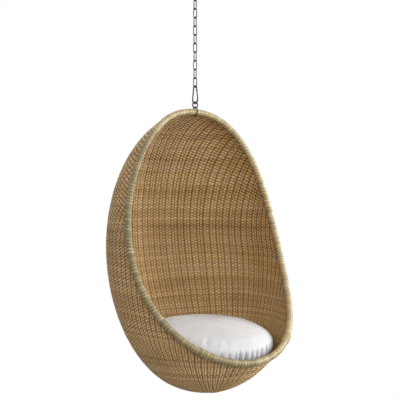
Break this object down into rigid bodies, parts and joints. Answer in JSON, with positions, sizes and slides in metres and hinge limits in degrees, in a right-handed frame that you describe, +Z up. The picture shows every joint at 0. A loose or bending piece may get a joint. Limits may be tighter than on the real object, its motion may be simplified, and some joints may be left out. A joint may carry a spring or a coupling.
{
  "type": "hanging egg chair",
  "caption": "Egg-shaped woven rattan chair with a wrapped rim and a round seat cushion, hanging from a ceiling fitting on a steel chain, snap hook, ring and loop.",
  "frame": {"origin": "centre of the ceiling fitting's flat top face, straight above the chain", "axes": "+Z up out of the ceiling fitting, the chair's opening faces -Y, +X to the right as seen from the front"},
  "size_m": [0.8344, 0.7963, 1.8387],
  "materials": {
    "steel": "satin",
    "dark_steel": "satin",
    "weave_cane": "satin",
    "pole_cane": "satin",
    "binding_cane": "satin",
    "cotton": "matte"
  },
  "bodies": {
    "ceiling_fitting": {"ceiling_plate": "steel", "ceiling_eye": "steel", "eye_nut": "steel"},
    "chain_link_01": {"chain_link_01": "steel"},
    "chain_link_02": {"chain_link_02": "steel"},
    "chain_link_03": {"chain_link_03": "steel"},
    "chain_link_04": {"chain_link_04": "steel"},
    "chain_link_05": {"chain_link_05": "steel"},
    "chain_link_06": {"chain_link_06": "steel"},
    "chain_link_07": {"chain_link_07": "steel"},
    "chain_link_08": {"chain_link_08": "steel"},
    "chain_link_09": {"chain_link_09": "steel"},
    "chain_link_10": {"chain_link_10": "steel"},
    "chain_link_11": {"chain_link_11": "steel"},
    "snap_hook": {"snap_hook": "dark_steel", "gate_pin": "steel"},
    "hook_gate": {"hook_gate": "dark_steel"},
    "lifting_ring": {"lifting_ring": "dark_steel"},
    "rim_loop": {"rim_loop": "dark_steel"},
    "egg": {"woven_shell": "weave_cane", "rim_pole_arch": "pole_cane", "rim_pole_lip": "pole_cane", "binding_arch_right": "binding_cane", "binding_arch_left": "binding_cane", "binding_lip": "binding_cane", "knuckle_lashing_right": "binding_cane", "knuckle_lashing_left": "binding_cane", "splice_lashing_right": "binding_cane", "splice_lashing_left": "binding_cane"},
    "seat_cushion": {"seat_cushion": "cotton"}
  },
  "joints": [
    {"name": "link_01_swing", "type": "hinge", "parent": "ceiling_fitting", "child": "chain_link_01", "pos_m": [0, 0, -0.053], "axis": [0, 1, 0], "range_deg": [-8, 8]},
    {"name": "link_02_swing", "type": "hinge", "parent": "chain_link_01", "child": "chain_link_02", "pos_m": [0, 0, -0.0913], "axis": [1, 0, 0], "range_deg": [-8, 8]},
    {"name": "link_03_twist", "type": "hinge", "parent": "chain_link_02", "child": "chain_link_03", "pos_m": [0, 0, -0.1278], "axis": [0, 0, 1], "range_deg": [-20, 20]},
    {"name": "link_04_swing", "type": "hinge", "parent": "chain_link_03", "child": "chain_link_04", "pos_m": [0, 0, -0.1646], "axis": [0, 1, 0], "range_deg": [-8, 8]},
    {"name": "link_05_swing", "type": "hinge", "parent": "chain_link_04", "child": "chain_link_05", "pos_m": [0, 0, -0.2039], "axis": [1, 0, 0], "range_deg": [-8, 8]},
    {"name": "link_06_twist", "type": "hinge", "parent": "chain_link_05", "child": "chain_link_06", "pos_m": [0, 0, -0.2457], "axis": [0, 0, 1], "range_deg": [-20, 20]},
    {"name": "link_07_swing", "type": "hinge", "parent": "chain_link_06", "child": "chain_link_07", "pos_m": [0, 0, -0.2878], "axis": [0, 1, 0], "range_deg": [-8, 8]},
    {"name": "link_08_swing", "type": "hinge", "parent": "chain_link_07", "child": "chain_link_08", "pos_m": [0, 0, -0.3271], "axis": [1, 0, 0], "range_deg": [-8, 8]},
    {"name": "link_09_twist", "type": "hinge", "parent": "chain_link_08", "child": "chain_link_09", "pos_m": [0, 0, -0.3636], "axis": [0, 0, 1], "range_deg": [-20, 20]},
    {"name": "link_10_swing", "type": "hinge", "parent": "chain_link_09", "child": "chain_link_10", "pos_m": [0, 0, -0.4004], "axis": [0, 1, 0], "range_deg": [-8, 8]},
    {"name": "link_11_swing", "type": "hinge", "parent": "chain_link_10", "child": "chain_link_11", "pos_m": [0, 0, -0.4397], "axis": [1, 0, 0], "range_deg": [-8, 8]},
    {"name": "hook_swing", "type": "hinge", "parent": "chain_link_11", "child": "snap_hook", "pos_m": [0, 0, -0.4843], "axis": [1, 0, 0], "range_deg": [-12, 12]},
    {"name": "gate_opening", "type": "hinge", "parent": "snap_hook", "child": "hook_gate", "pos_m": [0, -0.0121, -0.495], "axis": [1, 0, 0], "range_deg": [0, 22], "stiffness_Nm_per_rad": 0.1, "springref_deg": -20.05},
    {"name": "ring_swing", "type": "hinge", "parent": "snap_hook", "child": "lifting_ring", "pos_m": [0, 0, -0.5578], "axis": [0, 1, 0], "range_deg": [-12, 12]},
    {"name": "loop_swing", "type": "hinge", "parent": "lifting_ring", "child": "rim_loop", "pos_m": [0, 0, -0.579], "axis": [1, 0, 0], "range_deg": [-8, 8]},
    {"name": "egg_rocking", "type": "hinge", "parent": "rim_loop", "child": "egg", "pos_m": [0, 0, -0.5965], "axis": [1, 0, 0], "range_deg": [-8, 8]},
    {"name": "cushion_lift_out", "type": "slide", "parent": "egg", "child": "seat_cushion", "axis": [0, -0.6, 0.8], "range_m": [0, 0.3]}
  ]
}
